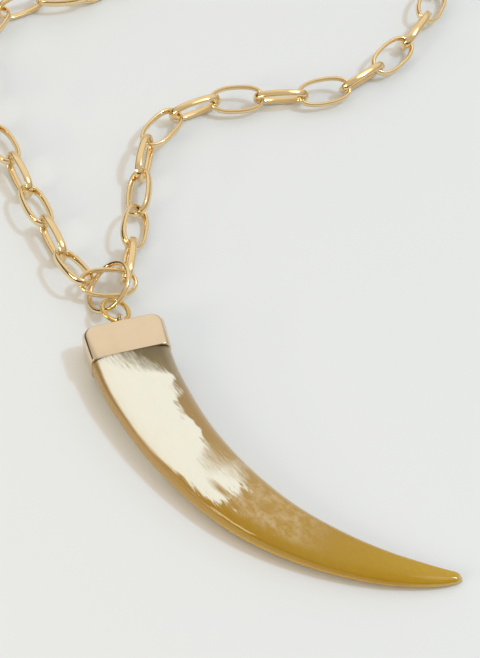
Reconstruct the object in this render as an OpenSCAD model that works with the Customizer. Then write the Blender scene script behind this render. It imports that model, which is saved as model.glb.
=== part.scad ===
// Cornicello pendant: a curved slab of natural horn in a polished metal cap,
// hung by a jump ring and a round bail ring from one link of a long-link chain.
// It lies on a surface: the cap's underside is at z = 0, its closed end faces +Y.

/* [Horn] */
// How far the tip lies to the side of the cap's middle
horn_sweep = 48.2; // [40:0.1:55]
// Length of the horn beyond the cap, measured straight down from the cap
horn_drop = 64.1; // [55:0.1:80]
// Width of the horn where it meets the cap
horn_w = 16.1; // [14:0.1:18]
// Thickness of the horn where it meets the cap
horn_t = 6.9; // [6:0.1:7.5]
// How square the horn's section is: 2 is an ellipse, more is a squarer slab
horn_square = 2.8; // [2:0.1:4]

/* [Cap] */
// Length of the cap along the horn
cap_l = 8; // [6:0.1:12]
// Wall of the cap
cap_wall = 0.5; // [0.3:0.05:0.8]
// How far the cap stands proud of the horn all round
cap_proud = 0.2; // [0:0.05:0.5]
// How much wider the cap is at its closed end than at its mouth
cap_flare = 0.7; // [0:0.05:1]
// Corner radius of the cap's end-on section
cap_round = 1.8; // [1:0.1:2.2]
// Corner radius of the closed end, seen from above
cap_shoulder = 1.9; // [1:0.1:3]
// Gap between the horn's cut-down end and the cap
seat_gap = 0.1; // [0.05:0.05:0.3]

/* [Rings] */
// Mean radius of the eyelet soldered to the cap
eyelet_r = 1.75; // [1.6:0.05:2]
// Wire diameter of the eyelet
eyelet_wire = 0.8; // [0.6:0.05:0.9]
// Mean radius of the jump ring
jump_r = 2.85; // [2.8:0.05:3.4]
// Wire diameter of the jump ring
jump_wire = 1; // [0.7:0.05:1.1]
// How far the eyelet leans off upright
eyelet_lean = 20; // [0:1:25]
// Slope of the jump ring as it lies
jump_slope = 23; // [15:1:30]
// Mean radius of the bail ring
bail_r = 5.5; // [5.45:0.05:5.7]
// Wire diameter of the bail ring
bail_wire = 1.1; // [0.8:0.05:1.2]
// Slope of the bail ring as it leans over its link
bail_slope = 41; // [39:1:42]

/* [Chain] */
// Outer length of a link
link_l = 12.2; // [12:0.1:12.5]
// Outer width of a link
link_w = 6.5; // [6:0.1:7.2]
// Thickness of the flattened wire, seen on the link's face
strip_t = 0.9; // [0.7:0.05:1]
// Breadth of the flattened wire, across the link's face
strip_b = 1.6; // [1.3:0.05:1.65]
// Play between two linked links
link_play = 0.35; // [0.3:0.01:0.4]
// Width of the clasp's hook
clasp_w = 6.8; // [6.4:0.1:7.2]
// Thickness of the clasp
clasp_t = 1.6; // [1.2:0.1:1.8]

/* [Hidden] */
gold = [0.88, 0.74, 0.52];

// The cap is sized round the horn
cap_w = horn_w + 2 * cap_proud;
cap_t = horn_t + 2 * cap_proud;
cap_mouth = -cap_l / 2;
cap_end = cap_l / 2;

// Horn sections from the seat in the cap to the tip. Across and along are shares
// of horn_sweep and horn_drop, width and thickness shares of horn_w and horn_t.
horn_sections = [
    // across, along, width, thickness
    [0, 0, 1, 1],
    [0.011, 0.093, 0.975, 0.985],
    [0.036, 0.185, 0.937, 0.96],
    [0.066, 0.275, 0.897, 0.93],
    [0.105, 0.364, 0.86, 0.895],
    [0.154, 0.451, 0.827, 0.86],
    [0.21, 0.534, 0.792, 0.83],
    [0.275, 0.613, 0.755, 0.795],
    [0.348, 0.686, 0.7, 0.755],
    [0.434, 0.755, 0.636, 0.71],
    [0.525, 0.816, 0.575, 0.655],
    [0.623, 0.872, 0.502, 0.59],
    [0.726, 0.921, 0.424, 0.515],
    [0.836, 0.962, 0.326, 0.43],
    [0.921, 0.987, 0.23, 0.34],
    [0.984, 0.999, 0.13, 0.25],
    [1, 1, 0.05, 0.15]
];
across = 0;
along = 1;
wide = 2;
thick = 3;
tenon_w = cap_w - 2 * (cap_wall + seat_gap);
tenon_t = cap_t - 2 * (cap_wall + seat_gap);
// it stops short of the cap's rounded closed end
tenon_l = cap_l - cap_shoulder;
rings_between = 2;
horn_sides = 20;

// Where the chain runs, as it lies: x and y of chosen places between two links,
// from the bail ring's middle, and how far a link that starts there is turned
// about the chain, in degrees. It starts and ends in the bail ring's own link, and
// the last row has no link of its own.
chain_route = [
    // x, y, turn
    [4.1, 1.55, 18],
    [7.3, 10.75, 42],
    [11, 19.8, 51],
    [13.8, 29.1, 80],
    [18, 38, 96],
    [25.5, 44, 107],
    [35.8, 45.5, 115],
    [45.5, 43.7, 116],
    [55, 41.9, 116],
    [64.5, 42.1, 116],
    [73.5, 46.5, 116],
    [81.5, 52.1, 116],
    [88.5, 59.9, 116],
    [101, 80.7, 116],
    [109, 110, 115],
    [108.5, 138, 114],
    [96, 162, 112],
    [68, 171.5, 110],
    [46, 155, 107],
    [37, 127.7, 104],
    [31, 98.5, 101],
    [19, 86, 98],
    [4.8, 87.2, 95],
    [-6, 84.2, 92],
    [-13.5, 73.7, 88],
    [-15.4, 60.8, 84],
    [-13.9, 51, 76],
    [-12, 41.3, 80],
    [-10.3, 31.6, 60],
    [-9, 21.9, 81],
    [-7.2, 12, 58],
    [-4.4, 2.6, 0]
];
turn = 2;
steps_between = 8;
link_points = 12;
// both ends of the run are lifted by the bail ring's link
first_lift = 0.65;
last_lift = 1.3;

function smooth(a, b, c, d, t) =
    0.5 * (2 * b + (c - a) * t + (2 * a - 5 * b + 4 * c - d) * t * t + (3 * b - a - 3 * c + d) * t * t * t);

// A smooth run through the rows of a table, with a number of steps between two rows
function smooth_rows(rows, steps) = let (last = len(rows) - 1) [
    for (i = [0:last - 1], k = [0:steps - 1])
        smooth(rows[max(i - 1, 0)], rows[i], rows[i + 1], rows[min(i + 2, last)], k / steps),
    rows[last]
];

// Horn
function horn_place(row) = [
    horn_sweep * row[across],
    cap_mouth - seat_gap - horn_drop * row[along],
    // the underside sinks from the cap's lip to the surface at the tip
    cap_proud * (1 - row[along]) + horn_t * row[thick] / 2
];

function horn_ring(place, heading, width, thickness) = [
    for (k = [0:horn_sides - 1]) let (
        a = 360 * k / horn_sides,
        side = sign(cos(a)) * pow(abs(cos(a)), 2 / horn_square) * width / 2,
        rise = sign(sin(a)) * pow(abs(sin(a)), 2 / horn_square) * thickness / 2
    ) [place.x - side * sin(heading), place.y + side * cos(heading), place.z + rise]
];

module horn() {
    rows = smooth_rows(horn_sections, rings_between);
    places = [for (row = rows) horn_place(row)];
    last = len(rows) - 1;
    shoulder = [0, cap_mouth - seat_gap, cap_t / 2];
    root = shoulder + [0, tenon_l, 0];
    rings = [
        horn_ring(root, -90, tenon_w, tenon_t),
        horn_ring(shoulder, -90, tenon_w, tenon_t),
        for (i = [0:last]) let (
            ahead = places[min(i + 1, last)],
            behind = places[max(i - 1, 0)],
            heading = i == 0 ? -90 : atan2(ahead.y - behind.y, ahead.x - behind.x)
        ) horn_ring(places[i], heading, horn_w * rows[i][wide], horn_t * rows[i][thick])
    ];
    color("darkkhaki") tube(rings);
}

// A closed solid through rings of points that follow one another
module tube(rings) {
    n = len(rings[0]);
    count = len(rings);
    polyhedron(
        [for (ring = rings, p = ring) p],
        [
            [for (k = [0:n - 1]) k],
            [for (k = [n - 1:-1:0]) (count - 1) * n + k],
            for (i = [0:count - 2], k = [0:n - 1]) let (m = (k + 1) % n)
                [i * n + k, (i + 1) * n + k, (i + 1) * n + m, i * n + m]
        ],
        convexity = 4
    );
}

// Cap
module rounded_sheet(w, l, r) {
    square([w - 2 * r, l], center = true);
    square([w, l - 2 * r], center = true);
    for (x = [-1, 1], y = [-1, 1])
        translate([x * (w / 2 - r), y * (l / 2 - r)]) circle(r, $fn = 48);
}

// A block rounded along its length, wider at its closed end, which is rounded from above too
module cap_block(w, t, round, shoulder, from, to) {
    end_w = w + cap_flare;
    intersection() {
        translate([0, to, cap_t / 2]) rotate([90, 0, 0])
            linear_extrude(to - from, scale = [w / end_w, 1]) rounded_sheet(end_w, t, round);
        // twice as long, so that only the closed end is rounded
        translate([0, from, 0]) linear_extrude(cap_t) rounded_sheet(end_w, 2 * (to - from), shoulder);
    }
}

module cap() {
    inner_w = cap_w - 2 * cap_wall;
    inner_t = cap_t - 2 * cap_wall;
    color(gold) {
        difference() {
            cap_block(cap_w, cap_t, cap_round, cap_shoulder, cap_mouth, cap_end);
            cap_block(inner_w, inner_t, cap_round - cap_wall, cap_shoulder - cap_wall,
                cap_mouth - 1, cap_end - cap_wall);
        }
        translate([0, eyelet_y, eyelet_z]) rotate([0, 90 + eyelet_lean, 0]) wire_ring(eyelet_r, eyelet_wire);
    }
}

module wire_ring(r, wire) {
    rotate_extrude($fn = 96) translate([r, 0]) circle(d = wire, $fn = 32);
}

// Rings: each hangs in the one before it
ring_gap = 0.15;
// the eyelet's wire sinks into the cap's end by the thickness of its solder
solder = 0.1;
eyelet_y = cap_end + eyelet_r + eyelet_wire / 2 - solder;
// it sits a little below the middle of the cap's end
eyelet_z = cap_t * 0.45;
jump_y = eyelet_y + eyelet_r - eyelet_wire / 2 - jump_wire / 2 - ring_gap + jump_r;
// direction in which the bail ring's high side points, in plan
bail_heading = -10;
// how deep the bail ring's wire lies inside the jump ring
bail_inset = 1.4;
bail_at = [
    0,
    jump_y + jump_r - jump_wire / 2 - bail_wire / 2 - ring_gap - bail_inset + bail_r * cos(bail_heading),
    0
];
bail_z = bail_r * sin(bail_slope) + bail_wire / 2;

module jump_ring() {
    color(gold) translate([0, jump_y, eyelet_z]) rotate([0, jump_slope, 0]) wire_ring(jump_r, jump_wire);
}

module bail_ring() {
    color(gold) translate([bail_at.x, bail_at.y, bail_z])
        rotate([0, -bail_slope, bail_heading]) wire_ring(bail_r, bail_wire);
}

// Chain
bend_r = link_w / 2 - strip_t;
// the flat wire's edges meet the next link's bend a little before its middle does
bend_loss = bend_r - sqrt(bend_r * bend_r - strip_b * strip_b / 4);
pitch = link_l - 2 * strip_t - 2 * bend_loss - link_play;

run = smooth_rows(chain_route, steps_between);
run_at = [for (i = 0, s = 0; i < len(run);
    s = s + (i + 1 < len(run) ? norm([run[i + 1].x - run[i].x, run[i + 1].y - run[i].y]) : 0),
    i = i + 1) s];
run_l = run_at[len(run) - 1];
// an odd number, so that both ends of the run meet the bail ring's link the same way
link_count = 2 * ceil((run_l / pitch - 1) / 2) + 1;
link_step = run_l / link_count;
clasp_slot = floor(link_count / 2);
run_x = [for (i = [0:len(run) - 1]) [run_at[i], run[i].x]];
run_y = [for (i = [0:len(run) - 1]) [run_at[i], run[i].y]];
rows = len(chain_route);
run_turn = [for (i = [0:rows - 2])
    [(run_at[i * steps_between] + run_at[(i + 1) * steps_between]) / 2, chain_route[i][turn]]];

// How far a link of the run is turned: neighbours are a quarter turn apart
function link_turn(i) = lookup((i + 0.5) * link_step, run_turn) + 90 * ((i + 1) % 2);
// Half the height of a link as it is turned; the clasp is a little larger
function link_reach(i) = let (size = i == clasp_slot ? [clasp_w, clasp_t] : [link_w, strip_b * 2 / 3])
    size.x / 2 * abs(sin(link_turn(i))) + size.y / 2 * abs(cos(link_turn(i)));
// A joint is high enough for both of its links to clear the surface
function joint(i) = [
    lookup(i * link_step, run_x),
    lookup(i * link_step, run_y),
    max(link_reach((i + link_count - 1) % link_count), link_reach(i % link_count))
        + (i == 0 ? first_lift : i == link_count ? last_lift : 0)
];

// One link along +X about the origin, turned about X
module link() {
    straight = (link_l - link_w) / 2;
    section = [
        // out from the wire's middle, and along its breadth
        [strip_t / 2, strip_b / 3], [0, strip_b / 2], [-strip_t / 2, strip_b / 3],
        [-strip_t / 2, -strip_b / 3], [0, -strip_b / 2], [strip_t / 2, -strip_b / 3]
    ];
    n = len(section);
    points = [for (k = [0:link_points - 1]) let (
        a = 360 * (k + 0.5) / link_points,
        mid = [sign(cos(a)) * straight, 0]
    ) for (p = section) let (r = link_w / 2 - strip_t / 2 + p.x)
        [mid.x + r * cos(a), r * sin(a), p.y]];
    polyhedron(points, [for (i = [0:link_points - 1], k = [0:n - 1]) let (
        j = (i + 1) % link_points,
        m = (k + 1) % n
    ) [i * n + k, i * n + m, j * n + m, j * n + k]], convexity = 6);
}

// Puts a piece that lies along +X between two joints, turned about its length
module between(from, to, turned) {
    way = to - from;
    translate((from + to) / 2)
        rotate([turned, -asin(way.z / norm(way)), atan2(way.y, way.x)]) children();
}

// direction of the bail ring's own link in plan, and its turn
hang_heading = -17;
hang_turn = 21;
// its middle from the bail ring's middle: it lies through the ring, a little beyond
hang_shift = [0.25, 1.6, -0.55];

module chain() {
    color(gold) translate(bail_at) {
        for (i = [0:link_count - 1]) if (i != clasp_slot)
            between(joint(i), joint(i + 1), link_turn(i)) link();
        translate(hang_shift + [0, 0, bail_z]) rotate([hang_turn, 0, hang_heading]) link();
    }
}

// Clasp: a plain closed hook with an eye, in place of one link
module clasp() {
    hook_r = clasp_w / 2;
    eye_r = hook_r * 0.85;
    hook_x = link_l / 2 - hook_r;
    eye_x = eye_r - link_l / 2;
    color(gold) translate(bail_at) between(joint(clasp_slot), joint(clasp_slot + 1), link_turn(clasp_slot))
        translate([0, 0, -clasp_t / 2]) linear_extrude(clasp_t) difference() {
            union() {
                translate([hook_x, 0]) circle(hook_r, $fn = 64);
                translate([eye_x, 0]) circle(eye_r, $fn = 64);
                polygon([[eye_x, -eye_r], [hook_x, -hook_r], [hook_x, hook_r], [eye_x, eye_r]]);
            }
            translate([hook_x, 0]) circle(hook_r - strip_t, $fn = 64);
            translate([eye_x, 0]) circle(eye_r - strip_t, $fn = 64);
        }
}

horn();
cap();
jump_ring();
bail_ring();
chain();
clasp();
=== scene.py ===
import math

import bmesh
import bpy
from mathutils import Euler, Matrix, Vector


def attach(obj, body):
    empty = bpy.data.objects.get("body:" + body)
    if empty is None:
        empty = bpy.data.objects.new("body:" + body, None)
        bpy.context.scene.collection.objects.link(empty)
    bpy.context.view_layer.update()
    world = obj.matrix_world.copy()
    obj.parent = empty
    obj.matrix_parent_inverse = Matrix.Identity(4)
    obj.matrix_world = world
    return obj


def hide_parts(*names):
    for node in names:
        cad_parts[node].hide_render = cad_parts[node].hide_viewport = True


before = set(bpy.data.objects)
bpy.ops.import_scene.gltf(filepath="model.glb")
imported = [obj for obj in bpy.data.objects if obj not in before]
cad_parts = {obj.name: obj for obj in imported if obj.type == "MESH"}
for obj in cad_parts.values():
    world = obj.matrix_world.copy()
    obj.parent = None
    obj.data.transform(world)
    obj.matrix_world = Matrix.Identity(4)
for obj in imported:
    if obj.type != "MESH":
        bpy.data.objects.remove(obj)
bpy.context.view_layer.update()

mm = 0.001


# sRGB hex to the linear values that a socket takes
def toLinear(hexColour):
    channels = [int(hexColour[i:i + 2], 16) / 255 for i in (1, 3, 5)]
    return [*(c / 12.92 if c <= 0.04045 else ((c + 0.055) / 1.055) ** 2.4 for c in channels), 1]


# adds one node, sets its options, and fills or links its sockets
def addNode(tree, kind, sockets=None, **options):
    node = tree.nodes.new(kind)
    for name, value in options.items():
        setattr(node, name, value)
    for name, value in (sockets or {}).items():
        if isinstance(value, bpy.types.NodeSocket):
            tree.links.new(value, node.inputs[name])
        else:
            node.inputs[name].default_value = value
    return node


def newMaterial(name):
    material = bpy.data.materials.new(name)
    material.use_nodes = True
    material.node_tree.nodes.clear()
    return material, material.node_tree


# makes the mesh an object that rides on the necklace and stands for its CAD node
def finishPiece(bm, name, node, material, sharpAngle=40):
    bmesh.ops.recalc_face_normals(bm, faces=bm.faces)
    mesh = bpy.data.meshes.new(name)
    bm.to_mesh(mesh)
    bm.free()
    mesh.shade_smooth()
    mesh.set_sharp_from_angle(angle=math.radians(sharpAngle))
    mesh.materials.append(material)
    piece = bpy.data.objects.new(name, mesh)
    bpy.context.scene.collection.objects.link(piece)
    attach(piece, "root")
    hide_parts(node)
    print(name, len(mesh.polygons), "faces")


# a Catmull-Rom curve from b to c
def smoothStep(a, b, c, d, t):
    return 0.5 * (2 * b + (c - a) * t + (2 * a - 5 * b + 4 * c - d) * t * t
                  + (3 * b - a - 3 * c + d) * t ** 3)


# a smooth run through the rows of a table
def smoothRows(rows, steps):
    last = len(rows) - 1
    run = []
    for i in range(last):
        around = rows[max(i - 1, 0)], rows[i], rows[i + 1], rows[min(i + 2, last)]
        run += [[smoothStep(*values, k / steps) for values in zip(*around)] for k in range(steps)]
    return run + [list(rows[last])]


# one ring of points in the matrix's XY plane, rounder or squarer than an ellipse
def sectionRing(bm, segments, halfWide, halfHigh, squareness, matrix):
    ring = bmesh.ops.create_circle(bm, segments=segments, radius=1)["verts"]
    for vert in ring:
        x, y = vert.co.x, vert.co.y
        vert.co.x = math.copysign(abs(x) ** (2 / squareness), x) * halfWide
        vert.co.y = math.copysign(abs(y) ** (2 / squareness), y) * halfHigh
    bmesh.ops.transform(bm, matrix=matrix, verts=ring)
    return ring


def ringEdges(ring):
    inRing = set(ring)
    return list({edge for vert in ring for edge in vert.link_edges
                 if edge.verts[0] in inRing and edge.verts[1] in inRing})


# skins neighbouring rings, and closes the two ends or joins them
def skinRings(bm, rings, closed=False):
    loops = [ringEdges(ring) for ring in rings]
    pairs = list(zip(loops, loops[1:])) + ([(loops[-1], loops[0])] if closed else [])
    for near, far in pairs:
        bmesh.ops.bridge_loops(bm, edges=near + far)
    if not closed:
        for ring in (rings[0], rings[-1]):
            bmesh.ops.contextual_create(bm, geom=ringEdges(ring))


# a ring of round wire, lying in the matrix's XY plane
def wireRing(bm, radius, wire, matrix, steps=96, sides=20):
    upright = Matrix.Translation((radius, 0, 0)) @ Matrix.Rotation(math.pi / 2, 4, "X")
    section = bmesh.ops.create_circle(bm, segments=sides, radius=wire / 2, matrix=upright)
    bmesh.ops.spin(bm, geom=ringEdges(section["verts"]), cent=(0, 0, 0), axis=(0, 0, 1),
                   angle=math.tau, steps=steps, use_merge=True)
    # the ring's points are found by walking from those of the section that are left
    verts = {v for v in section["verts"] if v.is_valid}
    grown = set(verts)
    while grown:
        grown = {edge.other_vert(v) for v in grown for edge in v.link_edges} - verts
        verts |= grown
    bmesh.ops.transform(bm, matrix=matrix, verts=list(verts))


goldLook = {
    "patch": 4,                 # mm across, where the plating is a little warmer and duller
    "patchGloss": (0.8, 1.25),  # shares of the roughness between such patches
    "ripple": 1.5,              # mm long, left by polishing
}


def goldMaterial(name, colour, deepColour, roughness, rippleHeight):
    glossiest, dullest = (roughness * share for share in goldLook["patchGloss"])
    material, tree = newMaterial(name)
    place = addNode(tree, "ShaderNodeTexCoord").outputs["Object"]
    patches = addNode(tree, "ShaderNodeTexNoise", {
        "Vector": place, "Scale": 1 / (goldLook["patch"] * mm), "Detail": 3.0})
    tint = addNode(tree, "ShaderNodeMix", {"Factor": patches.outputs["Fac"], 6: toLinear(colour),
                                           7: toLinear(deepColour)}, data_type="RGBA")
    gloss = addNode(tree, "ShaderNodeMapRange", {"Value": patches.outputs["Fac"], "To Min": glossiest,
                                                 "To Max": dullest})
    ripples = addNode(tree, "ShaderNodeTexNoise", {
        "Vector": place, "Scale": 1 / (goldLook["ripple"] * mm), "Detail": 1.0})
    bump = addNode(tree, "ShaderNodeBump", {"Height": ripples.outputs["Fac"], "Distance": rippleHeight * mm,
                                            "Strength": 1.0})
    shader = addNode(tree, "ShaderNodeBsdfPrincipled", {
        "Base Color": tint.outputs[2], "Roughness": gloss.outputs["Result"],
        "Normal": bump.outputs["Normal"], "Metallic": 1.0})
    addNode(tree, "ShaderNodeOutputMaterial", {"Surface": shader.outputs["BSDF"]})
    return material


# pale gold plate on polished brass: warm mirror with soft patches
capGold = goldMaterial("paleGoldPlateCap", "#ECDCC4", "#E4D1B4", 0.12, 0.004)
wireGold = goldMaterial("paleGoldPlateWire", "#F6E0B4", "#ECCF98", 0.09, 0.006)
# deeper yellow gold plate on the jump ring's brass wire
jumpGold = goldMaterial("yellowGoldPlateRing", "#E8CC8A", "#DCBA70", 0.09, 0.006)


hornSize = {
    "sweep": 48.2, "drop": 64.1, "width": 16.1, "thickness": 6.9,
    "squareness": 3.6,       # near the cap: a slab with soft edges
    "tipSquareness": 2.3,    # the tip is rounder
    "tenonSquareness": 2.8,  # and so is the end in the cap
    "sides": 72,
    "stepsBetween": 5,
    "tipRound": 0.3,
}
# from the seat in the cap to the tip: across, along, width, thickness as shares
hornSections = [
    [0, 0, 1, 1], [0.011, 0.093, 0.975, 0.985], [0.036, 0.185, 0.937, 0.96], [0.066, 0.275, 0.897, 0.93],
    [0.105, 0.364, 0.86, 0.895], [0.154, 0.451, 0.827, 0.86], [0.21, 0.534, 0.792, 0.83],
    [0.275, 0.613, 0.755, 0.795], [0.348, 0.686, 0.7, 0.755], [0.434, 0.755, 0.636, 0.71],
    [0.525, 0.816, 0.575, 0.655], [0.623, 0.872, 0.502, 0.59], [0.726, 0.921, 0.424, 0.515],
    [0.836, 0.962, 0.326, 0.43], [0.921, 0.987, 0.23, 0.34], [0.984, 0.999, 0.13, 0.25], [1, 1, 0.05, 0.15],
]
capSize = {
    "length": 8, "wall": 0.5, "proud": 0.2, "flare": 0.7, "round": 1.8, "shoulder": 1.9, "endRound": 0.35,
    "seatGap": 0.1, "boreDepth": 5.4,
    "rim": [(0.03, -0.07), (0.1, -0.1)],  # how far the rim's outer half turns in and down
    "beforeShoulder": 0.4,                # a loop that keeps the flat part flat
    "solder": (0.65, 0.25, 0.8),
}
capSize["width"] = hornSize["width"] + 2 * capSize["proud"]
capSize["thickness"] = hornSize["thickness"] + 2 * capSize["proud"]


def buildHorn(material):
    size = hornSize
    mouth = -capSize["length"] / 2 - capSize["seatGap"]
    rows = smoothRows(hornSections, size["stepsBetween"])
    places = [Vector((size["sweep"] * across, mouth - size["drop"] * along,
                      capSize["proud"] * (1 - along) + size["thickness"] * thick / 2))
              for across, along, wide, thick in rows]
    bm = bmesh.new()
    hornPlace = bm.verts.layers.float_vector.new("hornPlace")  # mm along, across and up
    hornShare = bm.verts.layers.float_vector.new("hornShare")  # across and up as shares of the section
    rings = []
    # the tenon in the cap, as far as the cap's rounded closed end
    clear = capSize["wall"] + capSize["seatGap"]
    for y in (mouth + capSize["length"] - capSize["shoulder"], mouth):
        turned = Matrix.Translation((0, y, capSize["thickness"] / 2)) @ Matrix.Rotation(math.pi / 2, 4, "X")
        rings.append(sectionRing(bm, size["sides"], capSize["width"] / 2 - clear,
                                 capSize["thickness"] / 2 - clear, size["tenonSquareness"], turned))
    gone = 0
    for i, (across, along, wide, thick) in enumerate(rows):
        if i:
            gone += (places[i].xy - places[i - 1].xy).length
        ahead = places[min(i + 1, len(rows) - 1)] - places[max(i - 1, 0)]
        heading = -math.pi / 2 if i == 0 else math.atan2(ahead.y, ahead.x)
        squareness = size["squareness"] + (size["tipSquareness"] - size["squareness"]) * along ** 2
        halfWide, halfThick = size["width"] * wide / 2, size["thickness"] * thick / 2
        stand = (Matrix.Translation(places[i]) @ Matrix.Rotation(heading + math.pi / 2, 4, "Z")
                 @ Matrix.Rotation(math.pi / 2, 4, "X"))
        ring = sectionRing(bm, size["sides"], halfWide, halfThick, squareness, stand)
        back = stand.inverted()
        for vert in ring:
            local = back @ vert.co
            vert[hornPlace] = (gone, local.x, local.y)
            vert[hornShare] = (local.x / halfWide, local.y / halfThick, 0)
        rings.append(ring)
    skinRings(bm, rings)
    tip = ringEdges(rings[-1])
    bmesh.ops.bevel(bm, geom=tip, offset=size["tipRound"], segments=3, profile=0.5, affect="EDGES",
                    material=-1)
    bmesh.ops.scale(bm, vec=(mm, mm, mm), verts=bm.verts)
    finishPiece(bm, "hornSlab", "horn", material, sharpAngle=50)


# what the horn's pattern is drawn from: places in mm along and across the slab, shares of half its section,
# colours, and pairs in which something starts and is full
hornLook = {
    "length": 85.8,
    "fibreTurn": 23,       # the fibres run straight, 23 degrees off the cap's own direction
    # noises: mm across and along the fibres, detail, roughness; and mm through the slab
    "fibre": (0.32, 3.6, 4.0, 0.7),  # a bundle of fibres, as coarse as it needs to show
    "tuft": (1.1, 3.6, 2.0, 0.5),    # tufts of fibres that end together
    "cloud": (1.7, 2.6, 4.0, 0.7),   # pale clouds in the clear horn
    "noiseDeep": 2,
    # the cream's right edge and its left one, how far the right one spreads, and how sharp it is
    "creamRight": [(0, -3.2), (2, -1.0), (4, 0.9), (6, 3.0), (8, 4.8), (9.5, 5.6), (11, 4.6), (13, 4.9),
                   (15, 3.6), (17, 3.0), (19, 3.1), (21, 3.8), (23, 4.0), (25, 3.2), (27, 2.6), (29, 1.4),
                   (31, 1.2), (33, 1.7), (35, 3.2), (37, 2.9), (40, 1.6), (44, 0)],
    "creamLeft": [(0, -6.9), (15, -6.75), (19, -6.5), (25, -6.05), (29, -5.5), (34, -5.2), (38, -4.5),
                  (44, -3)],
    "creamSpread": [(0, 3.4), (5, 2.4), (9, 0.8), (12, 1.3), (16, 1.0), (20, 0.7), (26, 0.6), (29, 1.7),
                    (34, 2.0), (38, 1.2), (44, 1.0)],
    "creamSharp": [(0, 0.8), (6, 0.75), (10, 1.2), (25, 1.2), (28, 0.6), (36, 0.5), (40, 0.7), (44, 0.8)],
    "curveReach": 8.0,     # the four curves above stay within this
    "rightFray": {"tuft": 3.0, "fibre": 4.0},  # how far the noises move the cream's right edge
    "leftSharp": 3.0,
    "leftFray": ((22.0, 36.0), (1.0, 10.0)),   # along the slab, and how far fibres move the left edge there
    "creamEnd": 39.4, "endSharp": 0.7,
    "endFray": {"tuft": 9.0, "fibre": 6.0},
    "creamTints": ("#F1F0E4", "#E9E7D2"),
    # a clear spot in the cream's end, a narrow lens along the slab: its middle, narrowness, size and fraying
    "hole": (37.3, -2.05), "holeNarrow": (0.42, 1.9), "holeSize": 1.1, "holeFray": 2.0,
    "upperSide": [(0, "#6A5B3C"), (7, "#8C7B55"), (18, "#A68550"), (32, "#B09055"), (48, "#B69042"),
                  (58, "#AF892A"), (68, "#B48E16"), (85, "#C09A22"), (85.8, "#D6C88C")],
    "lowerSide": [(0, "#A08452"), (22, "#A8853C"), (40, "#AC8418"), (60, "#B08A1C"), (72, "#B38A00"),
                  (84.6, "#BC9410"), (85.8, "#D6C88C")],
    "upperStart": (-0.9, 0.3),
    "streaks": (0.95, 1.05),
    "upperEdge": "#CDBDAA", "edgeStart": (0.7, 1.05), "edgeMost": 0.6,
    "cloudTint": "#CDB48A", "cloudStart": (-0.08, 0.14), "cloudMost": 0.75,
    "cloudAlong": ((35.0, 41.0), (62.0, 50.0)), "cloudAcross": ((-0.75, -0.35), (0.9, 0.6)),
    # the side walls' colours hold painted light: lighter than the face's against their dimmer light, and
    # paler at the foot as a painted glow
    "wall": [(0, "#B49458"), (22, "#BC9650"), (48, "#B59430"), (74, "#B88C00"), (85.8, "#D8BC6C")],
    "wallFootPaintedGlow": [(0, "#BFA05C"), (22, "#CDA450"), (44, "#F0BE4C"), (70, "#ECB420"), (85.8, "#E8C868")],
    "paintedGlowStart": (0.3, -0.6), "wallStart": (0.93, 0.985),
    "ribPitch": 0.35, "ribShades": (0.96, 1.03),
    "grainDepth": 0.002,
    "roughness": 0.07, "ior": 1.54,
    "glow": 0.2, "glowColours": (1.0, 0.6, 0.2), "glowReach": 2.5,
}


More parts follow.
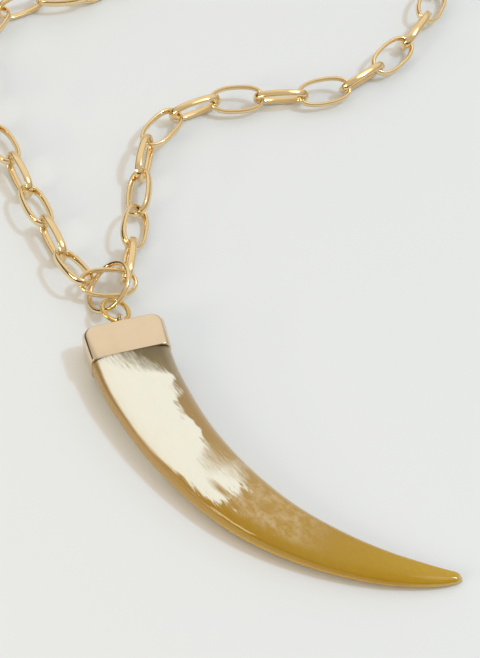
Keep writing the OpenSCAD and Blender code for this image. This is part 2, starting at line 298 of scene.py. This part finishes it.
def hornMaterial():
    # keratin ground to a slab and buffed: opaque cream core frayed into its fibres, clear amber beyond
    look = hornLook
    length, reach = look["length"], look["curveReach"]
    material, tree = newMaterial("polishedNaturalHorn")
    place = addNode(tree, "ShaderNodeAttribute", attribute_name="hornPlace").outputs["Vector"]
    along, across = addNode(tree, "ShaderNodeSeparateXYZ", {0: place}).outputs[:2]
    shares = addNode(tree, "ShaderNodeAttribute", attribute_name="hornShare").outputs["Vector"]
    sideShare, upShare = addNode(tree, "ShaderNodeSeparateXYZ", {0: shares}).outputs[:2]
    alongShare = addNode(tree, "ShaderNodeMath", {0: along, 1: length}, operation="DIVIDE").outputs[0]
    onObject = addNode(tree, "ShaderNodeTexCoord").outputs["Object"]
    # noise drawn out along the fibres, from -0.5 to 0.5
    grain = {}
    for name in ("fibre", "tuft", "cloud"):
        wide, long, detail, roughness = look[name]
        turned = addNode(tree, "ShaderNodeMapping", {
            "Vector": onObject, "Rotation": (0, 0, math.radians(look["fibreTurn"])),
            "Scale": (wide * mm, long * mm, look["noiseDeep"] * mm)}, vector_type="TEXTURE").outputs[0]
        noise = addNode(tree, "ShaderNodeTexNoise", {"Vector": turned, "Scale": 1.0, "Detail": detail,
                                                     "Roughness": roughness}).outputs["Fac"]
        grain[name] = addNode(tree, "ShaderNodeMath", {0: noise, 1: 0.5}, operation="SUBTRACT").outputs[0]
    colours = {}
    for name in ("upperSide", "lowerSide", "wall", "wallFootPaintedGlow"):
        ramp = addNode(tree, "ShaderNodeValToRGB", {"Fac": alongShare})
        stops = ramp.color_ramp.elements
        while len(stops) > 1:
            stops.remove(stops[-1])
        for i, (where, colour) in enumerate(look[name]):
            stop = stops[0] if i == 0 else stops.new(where / length)
            stop.position = min(where / length, 1)
            stop.color = toLinear(colour)
        colours[name] = ramp.outputs["Color"]
    curves = {}
    for name in ("creamRight", "creamLeft", "creamSpread", "creamSharp"):
        curve = addNode(tree, "ShaderNodeFloatCurve", {"Value": alongShare})
        points = curve.mapping.curves[0].points
        rows = [(where / length, (at + reach) / (2 * reach)) for where, at in look[name]]
        points[0].location, points[1].location = rows[0], rows[-1]
        for row in rows[1:-1]:
            points.new(*row)
        curve.mapping.update()
        curves[name] = addNode(tree, "ShaderNodeMapRange", {
            "Value": curve.outputs[0], "To Min": -reach, "To Max": reach}, clamp=False).outputs[0]
    # the clear horn, from the lower long side to the upper one, which pales towards its edge
    start, full = look["upperStart"]
    upper = addNode(tree, "ShaderNodeMapRange", {"Value": sideShare, "From Min": start, "From Max": full},
                    interpolation_type="SMOOTHSTEP").outputs[0]
    clear = addNode(tree, "ShaderNodeMix", {"Factor": upper, 6: colours["lowerSide"],
                                            7: colours["upperSide"]}, data_type="RGBA").outputs[2]
    darkest, palest = look["streaks"]
    streaks = addNode(tree, "ShaderNodeMapRange", {
        "Value": grain["fibre"], "From Min": -0.2, "From Max": 0.2, "To Min": darkest,
        "To Max": palest}).outputs[0]
    clear = addNode(tree, "ShaderNodeMix", {"Factor": 1.0, 6: clear, 7: streaks}, data_type="RGBA",
                    blend_type="MULTIPLY").outputs[2]
    start, full = look["edgeStart"]
    paler = addNode(tree, "ShaderNodeMapRange", {
        "Value": sideShare, "From Min": start, "From Max": full, "To Max": look["edgeMost"]},
        interpolation_type="SMOOTHSTEP").outputs[0]
    clear = addNode(tree, "ShaderNodeMix", {"Factor": paler, 6: clear, 7: toLinear(look["upperEdge"])},
                    data_type="RGBA").outputs[2]
    # how far a place lies inside the cream's right edge, in mm over how far that edge spreads there
    right = addNode(tree, "ShaderNodeMath", {0: curves["creamRight"], 1: across},
                    operation="SUBTRACT").outputs[0]
    right = addNode(tree, "ShaderNodeMath", {0: grain["tuft"], 1: look["rightFray"]["tuft"], 2: right},
                    operation="MULTIPLY_ADD").outputs[0]
    right = addNode(tree, "ShaderNodeMath", {0: right, 1: curves["creamSpread"]},
                    operation="DIVIDE").outputs[0]
    right = addNode(tree, "ShaderNodeMath", {0: grain["fibre"], 1: look["rightFray"]["fibre"], 2: right},
                    operation="MULTIPLY_ADD").outputs[0]
    right = addNode(tree, "ShaderNodeMath", {0: right, 1: curves["creamSharp"]},
                    operation="MULTIPLY").outputs[0]
    # the left edge is sharp, and frays only towards the cream's end
    left = addNode(tree, "ShaderNodeMath", {0: across, 1: curves["creamLeft"]},
                   operation="SUBTRACT").outputs[0]
    left = addNode(tree, "ShaderNodeMath", {0: left, 1: look["leftSharp"]}, operation="MULTIPLY").outputs[0]
    (start, full), (least, most) = look["leftFray"]
    fray = addNode(tree, "ShaderNodeMapRange", {"Value": along, "From Min": start, "From Max": full,
                                                "To Min": least, "To Max": most}).outputs[0]
    left = addNode(tree, "ShaderNodeMath", {0: grain["fibre"], 1: fray, 2: left},
                   operation="MULTIPLY_ADD").outputs[0]
    end = addNode(tree, "ShaderNodeMath", {0: look["creamEnd"], 1: along}, operation="SUBTRACT").outputs[0]
    end = addNode(tree, "ShaderNodeMath", {0: end, 1: look["endSharp"]}, operation="MULTIPLY").outputs[0]
    for name, fraying in look["endFray"].items():
        end = addNode(tree, "ShaderNodeMath", {0: grain[name], 1: fraying, 2: end},
                      operation="MULTIPLY_ADD").outputs[0]
    spot = addNode(tree, "ShaderNodeVectorMath", {0: place, 1: (*look["hole"], 0)},
                   operation="SUBTRACT").outputs[0]
    spot = addNode(tree, "ShaderNodeVectorMath", {0: spot, 1: (*look["holeNarrow"], 0)},
                   operation="MULTIPLY").outputs[0]
    spot = addNode(tree, "ShaderNodeVectorMath", {0: spot}, operation="LENGTH").outputs["Value"]
    spot = addNode(tree, "ShaderNodeMath", {0: grain["fibre"], 1: look["holeFray"], 2: spot},
                   operation="MULTIPLY_ADD").outputs[0]
    spot = addNode(tree, "ShaderNodeMath", {0: spot, 1: look["holeSize"]}, operation="SUBTRACT").outputs[0]
    inside = right
    for edge in (left, end, spot):
        inside = addNode(tree, "ShaderNodeMath", {0: inside, 1: edge}, operation="MINIMUM").outputs[0]
    cream = addNode(tree, "ShaderNodeMapRange", {"Value": inside, "From Min": -1.0, "From Max": 1.0},
                    interpolation_type="SMOOTHSTEP").outputs[0]
    # pale clouds beyond the cream
    start, full = look["cloudStart"]
    cloudy = addNode(tree, "ShaderNodeMapRange", {"Value": grain["cloud"], "From Min": start,
                                                  "From Max": full, "To Max": look["cloudMost"]}).outputs[0]
    for value, limits in ((along, look["cloudAlong"]), (sideShare, look["cloudAcross"])):
        for start, full in limits:
            limit = addNode(tree, "ShaderNodeMapRange", {"Value": value, "From Min": start, "From Max": full},
                            interpolation_type="SMOOTHSTEP").outputs[0]
            cloudy = addNode(tree, "ShaderNodeMath", {0: cloudy, 1: limit}, operation="MULTIPLY").outputs[0]
    clear = addNode(tree, "ShaderNodeMix", {"Factor": cloudy, 6: clear, 7: toLinear(look["cloudTint"])},
                    data_type="RGBA").outputs[2]
    pale, deep = (toLinear(tint) for tint in look["creamTints"])
    creamTint = addNode(tree, "ShaderNodeMix", {"Factor": grain["tuft"], 6: pale, 7: deep},
                        data_type="RGBA").outputs[2]
    face = addNode(tree, "ShaderNodeMix", {"Factor": cream, 6: clear, 7: creamTint},
                   data_type="RGBA").outputs[2]
    # the long side walls, with fine growth ribs across: their colour is painted lighter than the face's to
    # make up for the dimmer light they get, and paler still at the foot, a painted glow through the thin edge
    # and painted light against the shade under it
    ribs = addNode(tree, "ShaderNodeMath", {0: along, 1: math.tau / look["ribPitch"]},
                   operation="MULTIPLY").outputs[0]
    ribs = addNode(tree, "ShaderNodeMath", {0: ribs}, operation="SINE").outputs[0]
    darkest, palest = look["ribShades"]
    ribShade = addNode(tree, "ShaderNodeMapRange", {"Value": ribs, "From Min": -1.0, "From Max": 1.0,
                                                    "To Min": darkest, "To Max": palest}).outputs[0]
    start, full = look["paintedGlowStart"]
    paintedGlowShare = addNode(tree, "ShaderNodeMapRange", {"Value": upShare, "From Min": start, "From Max": full},
                       interpolation_type="SMOOTHSTEP").outputs[0]
    wall = addNode(tree, "ShaderNodeMix", {"Factor": paintedGlowShare, 6: colours["wall"], 7: colours["wallFootPaintedGlow"]},
                   data_type="RGBA").outputs[2]
    wall = addNode(tree, "ShaderNodeMix", {"Factor": 1.0, 6: wall, 7: ribShade}, data_type="RGBA",
                   blend_type="MULTIPLY").outputs[2]
    sideways = addNode(tree, "ShaderNodeMath", {0: sideShare}, operation="ABSOLUTE").outputs[0]
    start, full = look["wallStart"]
    onWall = addNode(tree, "ShaderNodeMapRange", {"Value": sideways, "From Min": start, "From Max": full},
                     interpolation_type="SMOOTHSTEP").outputs[0]
    colour = addNode(tree, "ShaderNodeMix", {"Factor": onWall, 6: face, 7: wall},
                     data_type="RGBA").outputs[2]
    bump = addNode(tree, "ShaderNodeBump", {"Height": grain["fibre"], "Distance": look["grainDepth"] * mm,
                                            "Strength": 1.0})
    shader = addNode(tree, "ShaderNodeBsdfPrincipled", {
        "Base Color": colour, "Roughness": look["roughness"], "IOR": look["ior"],
        "Normal": bump.outputs["Normal"], "Subsurface Weight": look["glow"],
        "Subsurface Radius": look["glowColours"], "Subsurface Scale": look["glowReach"] * mm})
    addNode(tree, "ShaderNodeOutputMaterial", {"Surface": shader.outputs["BSDF"]})
    return material


buildHorn(hornMaterial())


# the eyelet's height is a share of the cap's thickness
eyeletSize = {"radius": 1.75, "wire": 0.8, "sunk": 0.1, "lean": 20, "height": 0.45}
jumpSize = {"radius": 2.85, "wire": 1.0, "slope": 23, "gap": 0.15}
bailSize = {"radius": 5.5, "wire": 1.1, "slope": 41, "heading": -10, "inset": 1.4}

eyeletY = capSize["length"] / 2 + eyeletSize["radius"] + eyeletSize["wire"] / 2 - eyeletSize["sunk"]
eyeletZ = capSize["thickness"] * eyeletSize["height"]
jumpY = (eyeletY + eyeletSize["radius"] - eyeletSize["wire"] / 2 - jumpSize["wire"] / 2 - jumpSize["gap"]
         + jumpSize["radius"])
bailY = (jumpY + jumpSize["radius"] - jumpSize["wire"] / 2 - bailSize["wire"] / 2 - jumpSize["gap"]
         - bailSize["inset"] + bailSize["radius"] * math.cos(math.radians(bailSize["heading"])))
bailZ = bailSize["radius"] * math.sin(math.radians(bailSize["slope"])) + bailSize["wire"] / 2


def buildCap(material):
    size = capSize
    width, thick, wall, length = size["width"], size["thickness"], size["wall"], size["length"]
    bm = bmesh.new()
    # the end-on section: a sheet with four rounded corners
    bmesh.ops.create_grid(bm, x_segments=1, y_segments=1, size=0.5)
    bmesh.ops.scale(bm, vec=(width, thick, 1), verts=bm.verts)
    bmesh.ops.bevel(bm, geom=bm.verts[:], offset=size["round"], segments=12, profile=0.5,
                    affect="VERTICES", material=-1)
    bmesh.ops.delete(bm, geom=bm.faces[:], context="FACES_ONLY")
    bmesh.ops.rotate(bm, matrix=Matrix.Rotation(math.pi / 2, 3, "X"), verts=bm.verts)
    mouth = bm.edges[:]

    # extrudes the mouth's edges through a list of places along the cap and half sizes there
    def sweep(stops):
        edges = mouth
        y, halves = 0.0, (width / 2, thick / 2)
        for newY, newHalves in stops:
            made = bmesh.ops.extrude_edge_only(bm, edges=edges)["geom"]
            verts = [part for part in made if isinstance(part, bmesh.types.BMVert)]
            edges = ringEdges(verts)
            bmesh.ops.translate(bm, vec=(0, newY - y, 0), verts=verts)
            bmesh.ops.scale(bm, vec=(newHalves[0] / halves[0], 1, newHalves[1] / halves[1]), verts=verts)
            y, halves = newY, newHalves
        bmesh.ops.contextual_create(bm, geom=edges)

    # half width and half thickness at a distance from the closed end
    def halfSizes(left):
        shoulder = max(size["shoulder"] - left, 0)
        end = max(size["endRound"] - left, 0)
        wider = size["flare"] / 2 * (1 - left / length)
        return (width / 2 + wider - size["shoulder"] + math.sqrt(size["shoulder"] ** 2 - shoulder ** 2),
                thick / 2 - size["endRound"] + math.sqrt(size["endRound"] ** 2 - end ** 2))

    # loops every few degrees round the shoulder, and round the edge of the closed end
    steps = [length - size["shoulder"] - size["beforeShoulder"], length - size["shoulder"]]
    steps += [length - size["shoulder"] * (1 - math.sin(math.radians(a))) for a in range(9, 82, 9)]
    steps += [length - size["endRound"] * (1 - math.sin(math.radians(a))) for a in range(15, 91, 15)]
    sweep([(step, halfSizes(length - step)) for step in sorted(steps)])
    # the rim turns in with a small radius, and the wall goes down inside
    inside = size["rim"] + [(wall - inset, depth) for inset, depth in reversed(size["rim"])]
    inside += [(wall, 0), (wall, size["boreDepth"])]
    sweep([(depth, (width / 2 - inset, thick / 2 - inset)) for inset, depth in inside])
    bmesh.ops.translate(bm, vec=(0, -length / 2, thick / 2), verts=bm.verts)
    stand = (Matrix.Translation((0, eyeletY, eyeletZ))
             @ Matrix.Rotation(math.radians(90 + eyeletSize["lean"]), 4, "Y"))
    wireRing(bm, eyeletSize["radius"], eyeletSize["wire"], stand, steps=64, sides=16)
    # a solder fillet where the eyelet meets the cap
    fillet = Matrix.Translation((0, length / 2, eyeletZ)) @ Matrix.Diagonal((*size["solder"], 1))
    bmesh.ops.create_uvsphere(bm, u_segments=24, v_segments=12, radius=1, matrix=fillet)
    bmesh.ops.scale(bm, vec=(mm, mm, mm), verts=bm.verts)
    finishPiece(bm, "hornCap", "cap", material)


buildCap(capGold)


def buildRing(name, node, size, matrix, material):
    bm = bmesh.new()
    wireRing(bm, size["radius"], size["wire"], matrix)
    bmesh.ops.scale(bm, vec=(mm, mm, mm), verts=bm.verts)
    finishPiece(bm, name, node, material)


jumpTurn = Euler((0, math.radians(jumpSize["slope"]), 0))
buildRing("jumpRing", "jump_ring", jumpSize,
          Matrix.Translation((0, jumpY, eyeletZ)) @ jumpTurn.to_matrix().to_4x4(), jumpGold)
bailTurn = Euler((0, -math.radians(bailSize["slope"]), math.radians(bailSize["heading"])))
buildRing("bailRing", "bail_ring", bailSize,
          Matrix.Translation((0, bailY, bailZ)) @ bailTurn.to_matrix().to_4x4(), wireGold)


chainSize = {
    "linkLength": 12.2, "linkWidth": 6.5, "stripThick": 0.9, "stripBroad": 1.6, "play": 0.35,
    "ovalness": 2.45,         # 2 is an ellipse, more is fuller at the ends
    "stripSquareness": 2.5,
    "lyingShare": 2 / 3,      # of the strip's breadth, how thick a link counts where it lies flat
    "claspWidth": 6.8, "claspThick": 1.6,
    "firstLift": 0.65, "lastLift": 1.3,  # the two links that climb to the bail ring
    "hangHeading": -17, "hangTurn": 21, "hangShift": (0.25, 1.6, -0.55),  # the link in the bail ring
    "pathPoints": 40, "sectionPoints": 14, "stepsBetween": 8,
}
# places between two links from the bail ring's middle, and the turn of the link that starts there
chainRoute = [
    [4.1, 1.55, 18], [7.3, 10.75, 42], [11, 19.8, 51], [13.8, 29.1, 80], [18, 38, 96], [25.5, 44, 107],
    [35.8, 45.5, 115], [45.5, 43.7, 116], [55, 41.9, 116], [64.5, 42.1, 116], [73.5, 46.5, 116],
    [81.5, 52.1, 116], [88.5, 59.9, 116], [101, 80.7, 116], [109, 110, 115], [108.5, 138, 114],
    [96, 162, 112], [68, 171.5, 110], [46, 155, 107], [37, 127.7, 104], [31, 98.5, 101], [19, 86, 98],
    [4.8, 87.2, 95], [-6, 84.2, 92], [-13.5, 73.7, 88], [-15.4, 60.8, 84], [-13.9, 51, 76], [-12, 41.3, 80],
    [-10.3, 31.6, 60], [-9, 21.9, 81], [-7.2, 12, 58], [-4.4, 2.6, 0],
]


# the value at a place that lies between those of a list
def between(values, at, where):
    for (a, x), (b, y) in zip(zip(at, values), zip(at[1:], values[1:])):
        if where <= b:
            return x + (y - x) * max(where - a, 0) / (b - a)
    return values[-1]


# the matrix of each link's place, without the clasp's, and last that of the link in the bail ring
def chainPlaces():
    size = chainSize
    bendRadius = size["linkWidth"] / 2 - size["stripThick"]
    bendLoss = bendRadius - math.sqrt(bendRadius ** 2 - size["stripBroad"] ** 2 / 4)
    pitch = size["linkLength"] - 2 * size["stripThick"] - 2 * bendLoss - size["play"]
    run = smoothRows([row[:2] for row in chainRoute], size["stepsBetween"])
    gone = [0.0]
    for here, there in zip(run, run[1:]):
        gone.append(gone[-1] + math.dist(here, there))
    count = 2 * math.ceil((gone[-1] / pitch - 1) / 2) + 1
    step = gone[-1] / count
    claspSlot = count // 2
    rowAt = gone[::size["stepsBetween"]]
    turnAt = [(a + b) / 2 for a, b in zip(rowAt, rowAt[1:])]
    turns = [row[2] for row in chainRoute[:-1]]

    # every other link stands across its neighbours
    def linkTurn(i):
        return between(turns, turnAt, (i + 0.5) * step) + 90 * ((i + 1) % 2)

    # half the height that a turned link or the clasp takes
    def reach(i):
        wide, high = ((size["claspWidth"], size["claspThick"]) if i == claspSlot
                      else (size["linkWidth"], size["stripBroad"] * size["lyingShare"]))
        turn = math.radians(linkTurn(i))
        return wide / 2 * abs(math.sin(turn)) + high / 2 * abs(math.cos(turn))

    def joint(i):
        lift = size["firstLift"] if i == 0 else size["lastLift"] if i == count else 0
        x, y = (between(values, gone, i * step) for values in zip(*run))
        return Vector((x, y, max(reach((i - 1) % count), reach(i % count)) + lift))

    places = []
    for i in range(count):
        start, end = joint(i), joint(i + 1)
        way = end - start
        turned = Euler((math.radians(linkTurn(i)), -math.asin(way.z / way.length), math.atan2(way.y, way.x)))
        places.append(Matrix.Translation((start + end) / 2) @ turned.to_matrix().to_4x4())
    del places[claspSlot]
    hang = Euler((math.radians(size["hangTurn"]), 0, math.radians(size["hangHeading"])))
    shift = Vector(size["hangShift"]) + Vector((0, 0, bailZ))
    places.append(Matrix.Translation(shift) @ hang.to_matrix().to_4x4())
    moved = Matrix.Translation((0, bailY, 0))
    return [moved @ place for place in places]


def buildLink():
    size = chainSize
    bm = bmesh.new()
    rings = []
    halfLong = (size["linkLength"] - size["stripThick"]) / 2
    halfWide = (size["linkWidth"] - size["stripThick"]) / 2
    count = size["pathPoints"]

    def onPath(i):
        angle = math.tau * (i + 0.5) / count
        x, y = math.cos(angle), math.sin(angle)
        return Vector((math.copysign(abs(x) ** (2 / size["ovalness"]), x) * halfLong,
                       math.copysign(abs(y) ** (2 / size["ovalness"]), y) * halfWide, 0))

    for i in range(count):
        way = onPath(i + 1) - onPath(i - 1)
        # the section's X points outwards from the link, and its Y across the link's face
        outward = Matrix.Rotation(math.atan2(way.y, way.x) - math.pi / 2, 4, "Z")
        stand = Matrix.Translation(onPath(i)) @ outward @ Matrix.Rotation(math.pi / 2, 4, "X")
        rings.append(sectionRing(bm, size["sectionPoints"], size["stripThick"] / 2, size["stripBroad"] / 2,
                                 size["stripSquareness"], stand))
    skinRings(bm, rings, closed=True)
    mesh = bpy.data.meshes.new("oneLink")
    bm.to_mesh(mesh)
    bm.free()
    return mesh


def buildChain(places):
    link = buildLink()
    bm = bmesh.new()
    for place in places:
        already = len(bm.verts)
        bm.from_mesh(link)
        bm.verts.ensure_lookup_table()
        bmesh.ops.transform(bm, matrix=place, verts=bm.verts[already:])
    bpy.data.meshes.remove(link)
    bmesh.ops.scale(bm, vec=(mm, mm, mm), verts=bm.verts)
    finishPiece(bm, "chainLinks", "chain", wireGold)


buildChain(chainPlaces())


claspSize = {"weld": 0.001, "flatAngle": 1, "rimAngle": 60, "rimRound": 0.3}


# the clasp keeps its CAD form, with its edges rounded
def buildClasp():
    size = claspSize
    bm = bmesh.new()
    bm.from_mesh(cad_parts["clasp"].data)
    bmesh.ops.remove_doubles(bm, verts=bm.verts, dist=size["weld"] * mm)
    bmesh.ops.dissolve_limit(bm, angle_limit=math.radians(size["flatAngle"]), verts=bm.verts, edges=bm.edges)
    sharpest = math.radians(size["rimAngle"])
    rim = [edge for edge in bm.edges if len(edge.link_faces) == 2 and edge.calc_face_angle() > sharpest]
    bmesh.ops.bevel(bm, geom=rim, offset=size["rimRound"] * mm, segments=4, profile=0.5, affect="EDGES",
                    material=-1)
    finishPiece(bm, "plainClasp", "clasp", wireGold)


buildClasp()


floorLook = {
    "reach": 1.5,  # metres from the middle to each side
    "colour": "#E9EDF1", "roughness": 0.9,
}


def buildFloor():
    # matt white paper, a little cool to balance the warm light
    bm = bmesh.new()
    bmesh.ops.create_grid(bm, x_segments=1, y_segments=1, size=floorLook["reach"])
    mesh = bpy.data.meshes.new("paleTable")
    bm.to_mesh(mesh)
    bm.free()
    material, tree = newMaterial("matPalePaper")
    shader = addNode(tree, "ShaderNodeBsdfPrincipled", {"Base Color": toLinear(floorLook["colour"]),
                                                        "Roughness": floorLook["roughness"]})
    addNode(tree, "ShaderNodeOutputMaterial", {"Surface": shader.outputs["BSDF"]})
    mesh.materials.append(material)
    floor = bpy.data.objects.new("paleTable", mesh)
    bpy.context.scene.collection.objects.link(floor)


# an area light aimed at a point, with its second side along a given direction
def softbox(name, place, aim, size, watts, colour, along=(0, 0, 1)):
    light = bpy.data.lights.new(name, "AREA")
    light.shape = "RECTANGLE"
    light.size, light.size_y = size
    light.energy = watts
    light.color = toLinear(colour)[:3]
    lamp = bpy.data.objects.new(name, light)
    away = (Vector(place) - Vector(aim)).normalized()
    across = Vector(along).cross(away).normalized()
    turn = Matrix((across, away.cross(across), away)).transposed()
    lamp.matrix_world = Matrix.Translation(place) @ turn.to_4x4()
    bpy.context.scene.collection.objects.link(lamp)


# directions from the necklace, pairs of how far a direction leans that way at start and end, and strengths;
# the boxes stand in metres from the middle
studio = {
    "warm": "#FFF2DF", "warmStrength": 0.65,
    # below these heights the warm light fades to a band, which is darker on the left
    "bandHeights": (0.16, 0.52),
    "left": (-0.97, -0.25, 0), "bandLeans": (-0.4, 0.3), "bandStrengths": (0.42, 0.04),
    "white": "#FFFFFF",
    "windows": [
        ((0.27, 0.75, 0.6), (0.4, 0.9), 0.3),      # broad, behind
        ((0.47, -0.1, 0.88), (0.95, 0.985), 1.2),  # small, high on the right: a bright line along each wire
    ],
    "middle": (0.03, 0, 0),
    "key": {"place": (0.56, -0.14, 0.82), "size": (0.09, 0.09), "watts": 2.65, "colour": "#B9E0FF"},
    # a long strip low on the left, and a box above its near end, light the horn's lower edge
    "strip": {"from": (-0.73, 0.12, 0.2), "to": (-0.74, -0.26, 0.18), "width": 0.04, "watts": 0.6,
              "colour": "#FFF0D0"},
    "box": {"place": (-0.64, -0.27, 0.36), "size": (0.2, 0.26), "watts": 1.0, "colour": "#FFF0D0"},
}


def buildLight():
    world = bpy.data.worlds.new("studio")
    bpy.context.scene.world = world
    world.use_nodes = True
    tree = world.node_tree
    tree.nodes.clear()
    direction = addNode(tree, "ShaderNodeTexCoord").outputs["Generated"]
    (start, end), (bright, dark) = studio["bandLeans"], studio["bandStrengths"]
    leftward = addNode(tree, "ShaderNodeVectorMath", {0: direction, 1: studio["left"]},
                       operation="DOT_PRODUCT").outputs["Value"]
    band = addNode(tree, "ShaderNodeMapRange", {
        "Value": leftward, "From Min": start, "From Max": end, "To Min": bright, "To Max": dark},
        interpolation_type="SMOOTHSTEP").outputs[0]
    height = addNode(tree, "ShaderNodeSeparateXYZ", {0: direction}).outputs[2]
    low, high = studio["bandHeights"]
    warmth = addNode(tree, "ShaderNodeMapRange", {
        "Value": height, "From Min": low, "From Max": high, "To Min": band, "To Max": studio["warmStrength"]},
        interpolation_type="SMOOTHSTEP").outputs[0]
    windows = []
    for way, (start, full), strength in studio["windows"]:
        towards = addNode(tree, "ShaderNodeVectorMath", {0: direction, 1: way},
                          operation="DOT_PRODUCT").outputs["Value"]
        windows.append(addNode(tree, "ShaderNodeMapRange", {
            "Value": towards, "From Min": start, "From Max": full, "To Max": strength},
            interpolation_type="SMOOTHSTEP").outputs[0])
    whiteness = addNode(tree, "ShaderNodeMath", {0: windows[0], 1: windows[1]}, operation="ADD").outputs[0]
    warm = addNode(tree, "ShaderNodeBackground", {"Color": toLinear(studio["warm"]), "Strength": warmth})
    white = addNode(tree, "ShaderNodeBackground", {"Color": toLinear(studio["white"]), "Strength": whiteness})
    both = addNode(tree, "ShaderNodeAddShader", {0: warm.outputs[0], 1: white.outputs[0]})
    addNode(tree, "ShaderNodeOutputWorld", {"Surface": both.outputs[0]})
    middle = Vector(studio["middle"])
    for name, box in (("keySoftbox", studio["key"]), ("leftBox", studio["box"])):
        softbox(name, middle + Vector(box["place"]), middle, box["size"], box["watts"], box["colour"])
    strip = studio["strip"]
    start, end = Vector(strip["from"]), Vector(strip["to"])
    softbox("leftStrip", middle + (start + end) / 2, middle, (strip["width"], (end - start).length),
            strip["watts"], strip["colour"], end - start)


# fitted to the photograph: places in mm, and the focal length in pixels of its height
view = {"eye": (-56.3, -290.05, 386.1), "aim": (23.86, 0.79, 0), "focal": 2400, "height": 658, "sensor": 36}


def buildCamera():
    camera = bpy.data.cameras.new("camera")
    camera.sensor_width = view["sensor"]
    camera.lens = view["focal"] / view["height"] * view["sensor"]
    camera.clip_start, camera.clip_end = 0.01, 10
    holder = bpy.data.objects.new("camera", camera)
    eye, aim = Vector(view["eye"]) * mm, Vector(view["aim"]) * mm
    holder.location = eye
    holder.rotation_euler = (aim - eye).to_track_quat("-Z", "Y").to_euler()
    bpy.context.scene.collection.objects.link(holder)
    bpy.context.scene.camera = holder


buildFloor()
buildLight()
buildCamera()
bpy.context.scene.view_settings.view_transform = "Standard"
